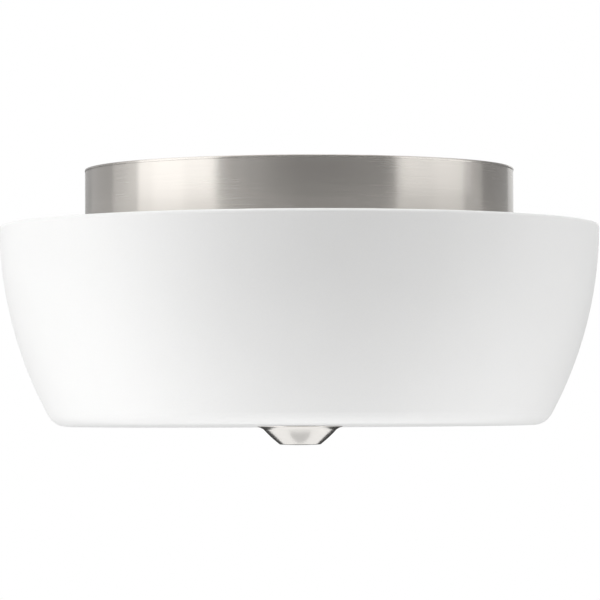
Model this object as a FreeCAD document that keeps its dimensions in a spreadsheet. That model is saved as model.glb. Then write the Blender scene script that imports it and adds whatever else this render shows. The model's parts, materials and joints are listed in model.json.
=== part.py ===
import FreeCAD, Part
import math
import os
import re

import Sketcher
from FreeCAD import Placement, Rotation, Vector

# A bowl ceiling light, in millimetres. The origin is on the light's axis in the plane of the ceiling, +Z up.

SIZES = {
    # canopy pan
    "pan_radius": 112.3, "pan_depth": 32, "pan_wall": 1, "pan_corner": 3, "bead_height": 1.4, "bead_out": 0.2,
    # twist fixing of the pan on its two screws
    "screw_circle": 54, "twist_angle": 22, "slot_half": 2.5, "keyhole_radius": 4.9,
    # mounting strap and its holes
    "strap_half": 61, "strap_width": 25, "strap_thick": 1.6, "strap_corner": 4, "box_spacing": 79.5,
    "box_slot_long": 13.9, "box_slot_half": 2.2, "strap_centre_hole": 4.85, "ground_hole_out": 20,
    # machine screws
    "screw_shank": 2.05, "thread_clear": 0.05, "screw_above": 4, "screw_head": 4.1, "screw_head_high": 2.6,
    "screw_gap": 0.1, "recess_long": 4.4, "recess_wide": 1.2, "recess_deep": 1.5,
    "ground_shank": 2.35, "ground_head": 4.6, "ground_head_high": 3.4, "ground_flange_high": 0.85,
    "ground_above": 2.4, "hex_flats": 6.4,
    # insulation pad
    "pad_side_gap": 7.7, "pad_bore": 34, "pad_thick": 12, "pad_slot_half": 7, "pad_edge": 3, "pad_hole": 9,
    # threaded rod and the nuts on it
    "rod_radius": 4.8, "rod_bore": 3, "rod_clear": 0.2, "rod_proud": 3, "rod_chamfer": 0.6,
    "nut_flats": 16, "nut_thick": 4.5, "nut_fit": 0.06, "nut_chamfer": 0.8,
    "lock_washer_out": 7.6, "lock_washer_thick": 1, "lock_washer_split": 0.8,
    "seat_washer_out": 19, "seat_washer_thick": 1.5, "gasket_thick": 1.5, "inner_gasket_out": 17,
    # glass bowl
    "bowl_radius": 157, "bowl_rim_drop": 29.4, "bowl_height": 105, "bowl_wall": 4, "wall_curve": 207,
    "bowl_corner": 11, "bowl_hole": 5.5, "rim_round_share": 0.49,
    # finial, its threaded bush and the gasket under the bowl
    "finial_gap": 0.15, "finial_height": 9.85, "lip_radius": 22.4, "lip_edge": 0.3, "flare_radius": 8,
    "cone_top_radius": 19, "cone_top_drop": 1.8, "cone_end_radius": 10.6, "cone_curve": 60,
    "dome_high": 0.3, "tip_round": 0.9, "finial_floor": 2, "rod_end_gap": 0.9, "outer_gasket_out": 16,
    "gasket_side_gap": 0.4, "gasket_clear": 0.4, "bush_radius": 7.5, "bush_fit": 0.07, "bush_sink": 0.5,
    "press_gap": 0.02,
    # lampholders: a porcelain body, a screw shell, a centre contact and a bracket
    "holder_back": 62, "lamp_side": 42, "lamp_drop": 74, "holder_neck": 17, "holder_radius": 19.5,
    "neck_long": 22, "neck_step": 2.5, "holder_long": 46, "holder_floor": 14, "holder_bore": 14.2,
    "holder_round": 1.2, "shell_gap": 0.1, "shell_wall": 0.4, "shell_short": 3, "shell_floor_hole": 8.6,
    "contact_plate": 5.5, "contact_plate_thick": 0.8, "contact_radius": 3.6, "contact_gap": 0.3,
    "bracket_width": 18, "bracket_thick": 1.2, "bracket_bend": 1.5, "bracket_tail": 11, "flange_long": 24,
    "rivet_first": 9, "rivet_pitch": 9, "rivet_radius": 1.6, "rivet_head_radius": 3.2, "rivet_head": 1.3,
    "rivet_clear": 0.05, "socket_screw_half": 6, "socket_screw_radius": 1.4, "socket_screw_long": 9,
    "socket_screw_head": 2.8, "socket_screw_head_high": 1.8, "socket_screw_bevel": 0.6,
    # lamps
    "lamp_long": 110, "globe_radius": 30, "globe_wall": 0.8, "globe_neck": 12.6, "neck_curve": 40,
    "neck_start": 22.5, "base_long": 26.5, "base_crest": 13.2, "base_wall": 0.4, "base_thread_start": 6,
    "base_pitch": 3.63, "base_thread_deep": 0.8, "base_mouth": 13.4, "base_flare_long": 2,
    "base_low": 5, "tip_radius": 4.6, "tip_high": 1.6, "insulator_low": 5.6, "insulator_high": 11.8,
    "mouth_gap": 0.5,
    # leads, bushings and wire nuts
    "lead_radius": 1.1, "lead_side": 13, "lead_seat": 2.5, "lead_hole": 1.4, "lead_hole_deep": 3,
    "bushing_x": 80, "bushing_y": 42, "bushing_bore": 4, "bushing_sleeve": 5.4, "bushing_fit": 0.1,
    "bushing_flange": 7.5, "bushing_flange_thick": 1.3,
    "wire_nut_at": 50, "wire_nut_long": 24, "wire_nut_mouth": 6.2, "wire_nut_tip": 3.4, "wire_nut_bore": 4.2,
    "wire_nut_bore_deep": 13, "wing_out": 9, "wing_thick": 1.8, "wing_start": 3,
    "wing_long": 13, "wing_root": 4.6, "nut_rest_gap": 0.2, "lead_pair_half": 1.6, "lead_in_nut": 6,
    # bonding of the pan to ground
    "bond_x": 10, "bond_y": 17.5, "ring_radius": 4.4, "ring_thick": 0.8, "barrel_radius": 1.9,
    "barrel_bore": 1.25, "barrel_start": 6, "barrel_long": 8, "barrel_grip": 2,
    "bond_nut_flats": 8.7, "bond_nut_thick": 3,
    # one overrun for every cut
    "overrun": 1,
}

# where the ground wire nut lies, in degrees from the others, and the rings of a lamp's thread
GROUND_NUT_TURN = 45
THREAD_RINGS = 4

FLOOR_UNDER = "(-pan_depth)"
FLOOR_TOP = "(pan_wall - pan_depth)"
PAD_RADIUS = "(pan_radius - pan_wall - pad_side_gap)"
PAD_UNDER = f"({FLOOR_TOP} + rivet_head)"
PAD_TOP = f"({PAD_UNDER} + pad_thick)"
WIRE_NUT_LEVEL = f"({PAD_TOP} + wire_nut_mouth + nut_rest_gap)"
STEM_TOP = f"({FLOOR_TOP} + lock_washer_thick + nut_thick + rod_proud)"
BOWL_RIM = "(-bowl_rim_drop)"
BOWL_UNDER = f"({BOWL_RIM} - bowl_height)"
BOWL_FLOOR = f"({BOWL_UNDER} + bowl_wall)"
SEAT_UNDER = f"({BOWL_FLOOR} + gasket_thick)"
SEAT_TOP = f"({SEAT_UNDER} + seat_washer_thick)"
FINIAL_TOP = f"({BOWL_UNDER} - finial_gap)"
FINIAL_SEAT = f"({BOWL_UNDER} - gasket_thick)"
FINIAL_UNDER = f"({FINIAL_TOP} - finial_height)"
FINIAL_FLOOR = f"({FINIAL_UNDER} + finial_floor)"
STEM_END = f"({FINIAL_FLOOR} + rod_end_gap)"
LAMP_TIP = "(holder_long - mouth_gap - base_long)"

# Routes of the leads, between their two ends: shares of bushing_x, of bushing_y, and of the way down from the
# wire nuts to the lead's start, at each point.
NEAR_ROUTE_SHARES = [
    (-0.888, -1.31, 1), (-1, -1.286, 0.873), (-1.012, -1.179, 0.633), (-1, -1.045, 0.393),
    (-1, -1.041, 0.155), (-0.888, -1.024, 0.019), (-0.65, -1.06, 0.043), (-0.425, -0.98, 0.02),
    (-0.2, -0.93, 0.004), (-0.044, -1.048, 0),
]
FAR_ROUTE_SHARES = [
    (-0.888, -0.69, 1), (-1, -0.714, 0.873), (-1.019, -0.821, 0.633), (-1, -0.955, 0.393),
    (-1, -0.96, 0.155), (-0.888, -0.95, 0.019), (-0.7, -0.885, 0.056), (-0.5, -0.786, 0.027),
    (-0.325, -0.476, 0.043), (-0.225, -0.048, 0.019), (-0.15, 0.381, 0.011), (-0.063, 0.738, 0.003),
    (-0.021, 1.048, 0),
]
GROUND_ROUTE_SHARES = [
    (0.125, -0.417, 0.982), (0.238, -0.452, 0.6), (0.313, -0.536, 0.151), (0.388, -0.726, 0.01),
]
ARC_SHARE = 0.45
EDGE_MATCH_SHARE = 1e-5

doc = FreeCAD.newDocument("bowl_ceiling_light")
sheet = doc.addObject("Spreadsheet::Sheet", "Sizes")
for row, (alias, value) in enumerate(SIZES.items(), start=1):
    sheet.set(f"A{row}", alias)
    sheet.set(f"B{row}", str(value))
    sheet.setAlias(f"B{row}", alias)
doc.recompute()

WORD = re.compile(r"[a-z][a-z_]*")
sub_parts = []


def bound(text):
    """An expression with the sheet's name before each size in it."""
    return WORD.sub(lambda m: f"Sizes.{m.group()}" if m.group() in SIZES else m.group(), text)


def size(text):
    """The value of an expression of sizes."""
    return float(sheet.evalExpression(bound(text)))


def place(item, x="0", y="0", z="0", rotation=None):
    """Place an object, with its position bound to the sizes."""
    item.Placement = Placement(Vector(size(x), size(y), size(z)), rotation or Rotation())
    for axis, text in (("x", x), ("y", y), ("z", z)):
        item.setExpression(f".Placement.Base.{axis}", bound(text))
    return item


def new_body(label):
    """An empty body."""
    body = doc.addObject("PartDesign::Body", label)
    body.Label = label
    return body


def node(item, label=None):
    """List an object as one of the light's sub-parts."""
    if label:
        item.Label = label
    sub_parts.append(item)
    return item


def new_sketch(body, role, shift=("0", "0", "0")):
    """A sketch in one of the body's own planes, moved by shift in the sketch's own axes."""
    plane = next(item for item in body.Origin.OriginFeatures if item.Role == role)
    sketch = body.newObject("Sketcher::SketchObject", "Sketch")
    sketch.AttachmentSupport = (plane, [""])
    sketch.MapMode = "FlatFace"
    for axis, text in zip("xyz", shift):
        sketch.setExpression(f".AttachmentOffset.Base.{axis}", bound(text))
    return sketch


def bind(sketch, kind, *references, text):
    """Add a dimension and bind it to the sizes."""
    index = sketch.addConstraint(Sketcher.Constraint(kind, *references, size(text)))
    sketch.setExpression(f"Constraints[{index}]", bound(text))


def bend_between(start, end, radius, turn):
    """The arc of a radius between two points, running to the left for turn 1 and to the right for turn -1."""
    chord = end - start
    half = chord.Length / 2
    left = Vector(-chord.y, chord.x, 0).normalize()
    centre = (start + end) / 2 + left * turn * math.sqrt(max(radius * radius - half * half, 0))
    first, last = (start, end) if turn > 0 else (end, start)
    angles = [math.atan2(point.y - centre.y, point.x - centre.x) for point in (first, last)]
    return Part.ArcOfCircle(Part.Circle(centre, Vector(0, 0, 1), radius), *angles)


def outline(sketch, corners, bends=None):
    """A closed outline through the corners. bends gives the (radius, turn) of each side that is an arc."""
    bends = bends or {}
    points = [Vector(size(x), size(y), 0) for x, y in corners]
    ends = []
    for i, start in enumerate(points):
        end = points[(i + 1) % len(points)]
        if i in bends:
            radius, turn = bends[i]
            side = sketch.addGeometry(bend_between(start, end, size(radius), turn))
            ends.append((side, 1, 2) if turn > 0 else (side, 2, 1))
        else:
            side = sketch.addGeometry(Part.LineSegment(start, end))
            ends.append((side, 1, 2))
    for i, (side, first, last) in enumerate(ends):
        following = ends[(i + 1) % len(ends)]
        sketch.addConstraint(Sketcher.Constraint("Coincident", side, last, following[0], following[1]))
        bind(sketch, "DistanceX", -1, 1, side, first, text=corners[i][0])
        bind(sketch, "DistanceY", -1, 1, side, first, text=corners[i][1])
        if i in bends:
            bind(sketch, "Radius", side, text=bends[i][0])
    return sketch


def circle(sketch, x, y, radius):
    """A circle with its centre and radius bound to the sizes."""
    centre = Vector(size(x), size(y), 0)
    index = sketch.addGeometry(Part.Circle(centre, Vector(0, 0, 1), size(radius)))
    bind(sketch, "DistanceX", -1, 1, index, 3, text=x)
    bind(sketch, "DistanceY", -1, 1, index, 3, text=y)
    bind(sketch, "Radius", index, text=radius)
    return sketch


def revolve(body, sketch, axis="V_Axis"):
    """Turn a sketch round one of its own axes."""
    feature = body.newObject("PartDesign::Revolution", "Revolution")
    feature.Profile = sketch
    feature.ReferenceAxis = (sketch, [axis])
    feature.Angle = 360
    return feature


def pad(body, sketch, length, both_ways=False):
    """Thicken a sketch."""
    feature = body.newObject("PartDesign::Pad", "Pad")
    feature.Profile = sketch
    feature.SideType = "Symmetric" if both_ways else "One side"
    feature.setExpression("Length", bound(length))
    return feature


def must_shrink(body, cut):
    """Stop if a cut took nothing away."""
    before = cut.BaseFeature.Shape.Volume
    doc.recompute()
    if cut.Shape.Volume >= before:
        raise RuntimeError(f"{body.Label}: {cut.Label} cuts nothing")
    return cut


def pocket(body, sketch, depth=None, reverse=False):
    """Cut a sketch out of the body, right through it where no depth is given."""
    doc.recompute()
    feature = body.newObject("PartDesign::Pocket", "Pocket")
    feature.Profile = sketch
    feature.Reversed = reverse
    if depth:
        feature.setExpression("Length", bound(depth))
    else:
        feature.Type = "ThroughAll"
    return must_shrink(body, feature)


def groove(body, sketch, axis="V_Axis"):
    """Cut a sketch out all round one of its own axes."""
    doc.recompute()
    feature = body.newObject("PartDesign::Groove", "Groove")
    feature.Profile = sketch
    feature.ReferenceAxis = (sketch, [axis])
    feature.Angle = 360
    return must_shrink(body, feature)


def repeat_round(body, features, count, role="Z_Axis"):
    """Repeat features evenly round one of the body's own axes."""
    pattern = body.newObject("PartDesign::PolarPattern", "PolarPattern")
    pattern.Originals = features
    axis = next(item for item in body.Origin.OriginFeatures if item.Role == role)
    pattern.Axis = (axis, [""])
    pattern.Occurrences = count
    pattern.Angle = 360
    body.Tip = pattern
    return pattern


def round_edges(body, base, radius, rings):
    """Round the circular edges that lie at the given radii and heights."""
    doc.recompute()
    wanted = [(size(ring), size(height)) for ring, height in rings]
    names = []
    for index, edge in enumerate(base.Shape.Edges, start=1):
        if edge.Degenerated or not isinstance(edge.Curve, Part.Circle):
            continue
        for ring, height in wanted:
            off = abs(edge.Curve.Radius - ring) + abs(edge.Curve.Center.z - height)
            if off < EDGE_MATCH_SHARE * ring:
                names.append(f"Edge{index}")
    if len(names) != len(rings):
        raise RuntimeError(f"{body.Label}: found {len(names)} of {len(rings)} edges to round")
    feature = body.newObject("PartDesign::Fillet", "Fillet")
    feature.Base = (base, names)
    feature.setExpression("Radius", bound(radius))
    return feature


def group(label, members):
    """Identical pieces that share one node, as separate solids."""
    doc.recompute()
    compound = doc.addObject("Part::Compound", label)
    compound.Links = members
    return node(compound, label)


def ring(label, outer, inner, low, high):
    """A flat ring about the light's axis."""
    body = new_body(label)
    sketch = new_sketch(body, "XY_Plane", ("0", "0", low))
    circle(sketch, "0", "0", outer)
    circle(sketch, "0", "0", inner)
    pad(body, sketch, f"{high} - {low}")
    return body


def around(turn, radius):
    """A point at an angle and radius, as two expressions."""
    return f"({radius}) * cos({turn})", f"({radius}) * sin({turn})"


def oblong(sketch, x, y, half_long, half_wide):
    """A rectangle about a point."""
    corners = ((-1, -1), (1, -1), (1, 1), (-1, 1))
    return outline(sketch, [(f"{x} + {i} * {half_long}", f"{y} + {j} * {half_wide}") for i, j in corners])


def hexagon(sketch, flats):
    """A hexagon about the sketch's origin."""
    outline(sketch, [around(str(60 * corner), f"{flats} / sqrt(3)") for corner in range(6)])


def hex_nut(label, flats, bore, thick, chamfer):
    """A hexagon nut on its own axis, from its underside up, with both rims chamfered."""
    body = new_body(label)
    sketch = new_sketch(body, "XY_Plane")
    hexagon(sketch, flats)
    circle(sketch, "0", "0", bore)
    pad(body, sketch, thick)
    corner = f"({flats} / sqrt(3) + overrun)"
    inset = f"({flats} / 2 - {chamfer} / 4)"
    rise = f"(({corner} - {inset}) / 2)"
    for face, step in (("0", "1"), (thick, "-1")):
        cut = new_sketch(body, "XZ_Plane")
        outline(cut, [(inset, face), (corner, f"{face}"), (corner, f"{face} + {step} * {rise}")])
        groove(body, cut)
    return body


# Held by the ceiling box

def mounting_strap():
    """Slotted steel bar across the outlet box, with tapped holes for the canopy screws."""
    body = new_body("mounting_strap")
    half, side, corner = "strap_half", "(strap_width / 2)", "strap_corner"
    corners, bends = [], {}
    for x, y, along in ((1, -1, 0), (1, 1, 1), (-1, 1, 0), (-1, -1, 1)):
        flat = (f"{x} * ({half} - {corner})", f"{y} * {side}")
        upright = (f"{x} * {half}", f"{y} * ({side} - {corner})")
        bends[len(corners)] = (corner, 1)
        corners += [upright, flat] if along else [flat, upright]
    sketch = outline(new_sketch(body, "XY_Plane", ("0", "0", "-strap_thick")), corners, bends)
    pad(body, sketch, "strap_thick")
    reach = "(box_slot_long / 2 - box_slot_half)"
    cuts = []
    slot = oblong(new_sketch(body, "XY_Plane"), "box_spacing / 2", "0", reach, "box_slot_half")
    cuts.append(pocket(body, slot))
    for x in (-1, 1):
        end = circle(new_sketch(body, "XY_Plane"), f"box_spacing / 2 + {x} * {reach}", "0", "box_slot_half")
        cuts.append(pocket(body, end))
    tapped = circle(new_sketch(body, "XY_Plane"), "screw_circle", "0", "screw_shank + thread_clear")
    cuts.append(pocket(body, tapped))
    repeat_round(body, cuts, 2)
    pocket(body, circle(new_sketch(body, "XY_Plane"), "0", "0", "strap_centre_hole"))
    ground = new_sketch(body, "XY_Plane")
    pocket(body, circle(ground, "ground_hole_out", "0", "ground_shank + thread_clear"))
    return node(body)


def cross_recess(body, low):
    """A cross recess cut up into a head from its underside."""
    arm, half = "(recess_long / 2)", "(recess_wide / 2)"
    corners = []
    for quarter in range(4):
        turned = [(arm, f"-{half}"), (arm, half), (half, half)]
        for x, y in turned:
            spot = {0: (x, y), 1: (f"-({y})", x), 2: (f"-({x})", f"-({y})"), 3: (y, f"-({x})")}
            corners.append(spot[quarter])
    sketch = outline(new_sketch(body, "XY_Plane", ("0", "0", low)), corners)
    pocket(body, sketch, "recess_deep", reverse=True)


def canopy_screw(index, turn):
    """One of the two screws that hang the pan, head down."""
    body = new_body(f"canopy_screw_{index}")
    under = f"({FLOOR_UNDER} - screw_gap)"
    low = f"({under} - screw_head_high)"
    crown = "((screw_head^2 + screw_head_high^2 / 4) / screw_head_high)"
    sketch = new_sketch(body, "XZ_Plane")
    outline(sketch, [
        ("0", low), ("recess_long / 2 + recess_wide / 2", low),
        ("screw_head", f"{under} - screw_head_high / 2"), ("screw_head", under), ("screw_shank", under),
        ("screw_shank", "screw_above"), ("0", "screw_above"),
    ], {1: (crown, 1)})
    revolve(body, sketch)
    cross_recess(body, low)
    return place(body, f"{turn} * screw_circle")


def ground_screw():
    """Green hexagon-head screw in the strap, head down."""
    body = new_body("ground_screw")
    under = "(-strap_thick)"
    flange = f"({under} - ground_flange_high)"
    sketch = new_sketch(body, "XZ_Plane")
    outline(sketch, [
        ("0", flange), ("ground_head", flange), ("ground_head", under), ("ground_shank", under),
        ("ground_shank", "ground_above"), ("0", "ground_above"),
    ])
    revolve(body, sketch)
    head = new_sketch(body, "XY_Plane", ("0", "0", f"{under} - ground_head_high"))
    hexagon(head, "hex_flats")
    pad(body, head, "ground_head_high - ground_flange_high")
    return node(place(body, "ground_hole_out"))


# The pan and what is fixed to it

def sector(sketch, middle, half, first, last):
    """A curved slot about the origin with straight ends."""
    outline(sketch, [
        around(first, f"{middle} - {half}"), around(first, f"{middle} + {half}"),
        around(last, f"{middle} + {half}"), around(last, f"{middle} - {half}"),
    ], {1: (f"{middle} + {half}", 1), 3: (f"{middle} - {half}", -1)})
    return sketch


def canopy_pan():
    """Drawn nickel pan, open to the ceiling, with keyholes, a stem hole and lead holes in its floor."""
    body = new_body("canopy_pan")
    inner = "(pan_radius - pan_wall)"
    bead = "((bead_height^2 / 4 + bead_out^2) / (2 * bead_out))"
    sketch = new_sketch(body, "XZ_Plane")
    outline(sketch, [
        ("rod_radius + rod_clear", FLOOR_UNDER), ("pan_radius - pan_corner", FLOOR_UNDER),
        ("pan_radius", f"{FLOOR_UNDER} + pan_corner"), ("pan_radius", "-bead_height"), ("pan_radius", "0"),
        (inner, "0"), (inner, f"{FLOOR_UNDER} + pan_corner"), ("pan_radius - pan_corner", FLOOR_TOP),
        ("rod_radius + rod_clear", FLOOR_TOP),
    ], {1: ("pan_corner", 1), 3: (bead, 1), 6: ("pan_corner - pan_wall", -1)})
    revolve(body, sketch)
    keyhole = []
    sweep = sector(new_sketch(body, "XY_Plane"), "screw_circle", "slot_half", "0", "twist_angle")
    keyhole.append(pocket(body, sweep))
    keyhole.append(pocket(body, circle(new_sketch(body, "XY_Plane"), "screw_circle", "0", "slot_half")))
    mouth = circle(new_sketch(body, "XY_Plane"), *around("twist_angle", "screw_circle"), "keyhole_radius")
    keyhole.append(pocket(body, mouth))
    lead_hole = new_sketch(body, "XY_Plane")
    circle(lead_hole, "-bushing_x", "-bushing_y", "bushing_sleeve + bushing_fit")
    keyhole.append(pocket(body, lead_hole))
    for step in range(2):
        x = f"rivet_first + {step} * rivet_pitch - holder_back"
        rivet = circle(new_sketch(body, "XY_Plane"), x, "-lamp_side", "rivet_radius + rivet_clear")
        keyhole.append(pocket(body, rivet))
    repeat_round(body, keyhole, 2)
    bond = circle(new_sketch(body, "XY_Plane"), "-bond_x", "-bond_y", "screw_shank + thread_clear")
    pocket(body, bond)
    return node(body)


def insulation_pad():
    """Fibreglass pad on the pan's floor, cut away round the stem, the screws and the leads."""
    body = new_body("insulation_pad")
    sketch = new_sketch(body, "XY_Plane", ("0", "0", PAD_UNDER))
    circle(sketch, "0", "0", PAD_RADIUS)
    circle(sketch, "0", "0", "pad_bore")
    top = pad(body, sketch, "pad_thick")
    round_edges(body, top, "pad_edge", [(PAD_RADIUS, PAD_TOP)])
    slack = "(2 * asin(pad_slot_half / (2 * screw_circle)) / 1 deg)"
    slot = sector(
        new_sketch(body, "XY_Plane"), "screw_circle", "pad_slot_half", f"-{slack}", f"twist_angle + {slack}"
    )
    hole = circle(new_sketch(body, "XY_Plane"), "-bushing_x", "-bushing_y", "pad_hole")
    repeat_round(body, [pocket(body, slot), pocket(body, hole)], 2)
    return node(body)


def stem_rod():
    """Threaded pipe that carries the bowl and ends inside the finial."""
    body = new_body("stem_rod")
    thin = "(rod_radius - rod_chamfer)"
    sketch = new_sketch(body, "XZ_Plane")
    outline(sketch, [
        ("rod_bore", STEM_END), (thin, STEM_END), ("rod_radius", f"{STEM_END} + rod_chamfer"),
        ("rod_radius", f"{STEM_TOP} - rod_chamfer"), (thin, STEM_TOP), ("rod_bore", STEM_TOP),
    ])
    revolve(body, sketch)
    return node(body)


def stem_hardware():
    """The nuts and washers on the threaded pipe."""
    bore = "rod_radius + nut_fit"
    levels = {
        "stem_top_nut": f"{FLOOR_TOP} + lock_washer_thick",
        "stem_lower_nut": f"{FLOOR_UNDER} - nut_thick",
        "seat_nut": SEAT_TOP,
    }
    for label, level in levels.items():
        node(place(hex_nut(label, "nut_flats", bore, "nut_thick", "nut_chamfer"), z=level))
    washer = ring(
        "stem_lock_washer", "lock_washer_out", bore, FLOOR_TOP, f"({FLOOR_TOP} + lock_washer_thick)"
    )
    split = new_sketch(washer, "XY_Plane")
    half = "(lock_washer_split / 2)"
    reach = "((lock_washer_out + overrun) / 2)"
    pocket(washer, oblong(split, reach, "0", reach, half))
    node(washer)
    node(ring("seat_washer", "seat_washer_out", bore, SEAT_UNDER, SEAT_TOP))
    node(ring("inner_gasket", "inner_gasket_out", "rod_radius + rod_clear", BOWL_FLOOR, SEAT_UNDER))


def bond_parts():
    """The ring terminal, screw and nut that bond the pan to ground."""
    terminal = new_body("ground_terminal")
    sketch = new_sketch(terminal, "XY_Plane")
    circle(sketch, "0", "0", "ring_radius")
    pad(terminal, sketch, "ring_thick")
    reach = "((barrel_start + barrel_grip) / 2)"
    tongue = oblong(new_sketch(terminal, "XY_Plane"), reach, "0", reach, "barrel_radius")
    pad(terminal, tongue, "ring_thick")
    barrel = new_sketch(terminal, "XZ_Plane", ("0", "barrel_radius", "0"))
    outline(barrel, [
        ("barrel_start", "barrel_bore"), ("barrel_start + barrel_long", "barrel_bore"),
        ("barrel_start + barrel_long", "barrel_radius"), ("barrel_start", "barrel_radius"),
    ])
    revolve(terminal, barrel, "H_Axis")
    clear = circle(new_sketch(terminal, "YZ_Plane", ("0", "barrel_radius", "0")), "0", "0", "barrel_bore")
    pocket(terminal, clear, reverse=True)
    hole = circle(new_sketch(terminal, "XY_Plane"), "0", "0", "screw_shank + thread_clear")
    pocket(terminal, hole, reverse=True)
    node(place(terminal, "-bond_x", "-bond_y", FLOOR_TOP))

    screw = new_body("bond_screw")
    low = "(-pan_wall - bond_nut_thick - overrun)"
    sketch = new_sketch(screw, "XZ_Plane")
    outline(sketch, [
        ("0", low), ("screw_shank", low), ("screw_shank", "ring_thick"), ("screw_head", "ring_thick"),
        ("screw_head", "ring_thick + screw_head_high / 2"),
        ("recess_long / 2 + recess_wide / 2", "ring_thick + screw_head_high"),
        ("0", "ring_thick + screw_head_high"),
    ], {4: ("(screw_head^2 + screw_head_high^2 / 4) / screw_head_high", 1)})
    revolve(screw, sketch)
    slot = new_sketch(screw, "XY_Plane", ("0", "0", "ring_thick + screw_head_high"))
    oblong(slot, "0", "0", "(screw_head + overrun)", "(recess_wide / 2)")
    pocket(screw, slot, "screw_head_high / 2")
    node(place(screw, "-bond_x", "-bond_y", FLOOR_TOP))
    nut = hex_nut("bond_nut", "bond_nut_flats", "screw_shank + thread_clear", "bond_nut_thick", "nut_chamfer")
    node(place(nut, "-bond_x", "-bond_y", f"{FLOOR_UNDER} - bond_nut_thick"))


def lead_bushing(side):
    """Snap bushing that keeps the leads off the edge of the pan's floor."""
    body = new_body(f"lead_bushing_{side}")
    low, high = f"({FLOOR_UNDER} - bushing_flange_thick)", f"({FLOOR_TOP} + bushing_flange_thick)"
    sketch = new_sketch(body, "XZ_Plane")
    outline(sketch, [
        ("bushing_bore", low), ("bushing_flange", low), ("bushing_flange", FLOOR_UNDER),
        ("bushing_sleeve", FLOOR_UNDER), ("bushing_sleeve", FLOOR_TOP), ("bushing_flange", FLOOR_TOP),
        ("bushing_flange", high), ("bushing_bore", high),
    ])
    revolve(body, sketch)
    turn = SIDES[side]
    return place(body, f"-{turn} * bushing_x", f"-{turn} * bushing_y")


def wire_nut(label, turn):
    """Twist-on connector that lies on the pad, its mouth towards the stem and its tip outwards along -Y."""
    body = new_body(label)
    sketch = new_sketch(body, "YZ_Plane", ("-wire_nut_at", WIRE_NUT_LEVEL, "0"))
    outline(sketch, [
        ("-wire_nut_long", "0"), ("-wire_nut_long", "wire_nut_tip"), ("-wing_start", "wire_nut_mouth"),
        ("0", "wire_nut_mouth"), ("0", "wire_nut_bore"), ("-wire_nut_bore_deep", "wire_nut_bore"),
        ("-wire_nut_bore_deep", "0"),
    ])
    revolve(body, sketch, "H_Axis")
    for side in (-1, 1):
        wing = new_sketch(body, "XY_Plane", ("0", "-wire_nut_at", WIRE_NUT_LEVEL))
        root, edge = f"{side} * wing_root", f"{side} * wing_out"
        outline(wing, [
            (root, "-wing_start"), (edge, "-wing_start - wing_long / 4"),
            (edge, "-wing_start - wing_long / 2"), (root, "-wing_start - wing_long"),
        ])
        pad(body, wing, "wing_thick", both_ways=True)
    body.Placement = Placement(Vector(), Rotation(Vector(0, 0, 1), turn))
    return body


# Lampholders and lamps, each built along its own +Z and laid on its side under the pan

SIDES = {"a": 1, "b": -1}
LAID = Rotation(Vector(0, 1, 0), 90)
SIDE_ROTATIONS = {"a": LAID, "b": Rotation(Vector(0, 0, 1), 180) * LAID}


def lay(body, side, along="0", across="0", lift="0"):
    """Lay a body along a lampholder's axis, from the holder's back."""
    turn = SIDES[side]
    x = f"{turn} * ({along} - holder_back)"
    return place(body, x, f"{turn} * ({across} - lamp_side)", f"{lift} - lamp_drop", SIDE_ROTATIONS[side])


def socket_body(side):
    """Glazed porcelain lampholder, with blind holes for its screws and leads in the back."""
    body = new_body(f"socket_{side}_body")
    sketch = new_sketch(body, "XZ_Plane")
    outline(sketch, [
        ("0", "0"), ("holder_neck", "0"), ("holder_neck", "neck_long"),
        ("holder_radius", "neck_long + neck_step"), ("holder_radius", "holder_long"),
        ("holder_bore", "holder_long"), ("holder_bore", "holder_floor"), ("0", "holder_floor"),
    ])
    turned = revolve(body, sketch)
    round_edges(body, turned, "holder_round", [
        ("holder_neck", "0"), ("holder_radius", "neck_long + neck_step"), ("holder_radius", "holder_long"),
    ])
    for way in (-1, 1):
        screw = circle(new_sketch(body, "XY_Plane"), f"{way} * socket_screw_half", "0",
                       "socket_screw_radius + thread_clear")
        pocket(body, screw, "socket_screw_long + overrun", reverse=True)
        lead = circle(new_sketch(body, "XY_Plane"), "0", f"{way} * lead_side", "lead_hole")
        pocket(body, lead, "lead_hole_deep", reverse=True)
    return node(lay(body, side))


def socket_shell(side):
    """Brass screw shell inside the porcelain."""
    body = new_body(f"socket_{side}_shell")
    outer, inner = "(holder_bore - shell_gap)", "(holder_bore - shell_gap - shell_wall)"
    top = "holder_long - shell_short"
    sketch = new_sketch(body, "XZ_Plane")
    outline(sketch, [
        ("shell_floor_hole", "holder_floor"), (outer, "holder_floor"), (outer, top), (inner, top),
        (inner, "holder_floor + shell_wall"), ("shell_floor_hole", "holder_floor + shell_wall"),
    ])
    revolve(body, sketch)
    return node(lay(body, side))


def socket_contact(side):
    """Centre contact on the porcelain's floor, just short of the lamp's tip."""
    body = new_body(f"socket_{side}_contact")
    plate = "holder_floor + contact_plate_thick"
    top = f"{LAMP_TIP} - contact_gap"
    sketch = new_sketch(body, "XZ_Plane")
    outline(sketch, [
        ("0", "holder_floor"), ("contact_plate", "holder_floor"), ("contact_plate", plate),
        ("contact_radius", plate), ("contact_radius / 2", top), ("0", top),
    ])
    revolve(body, sketch)
    return node(lay(body, side))


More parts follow.
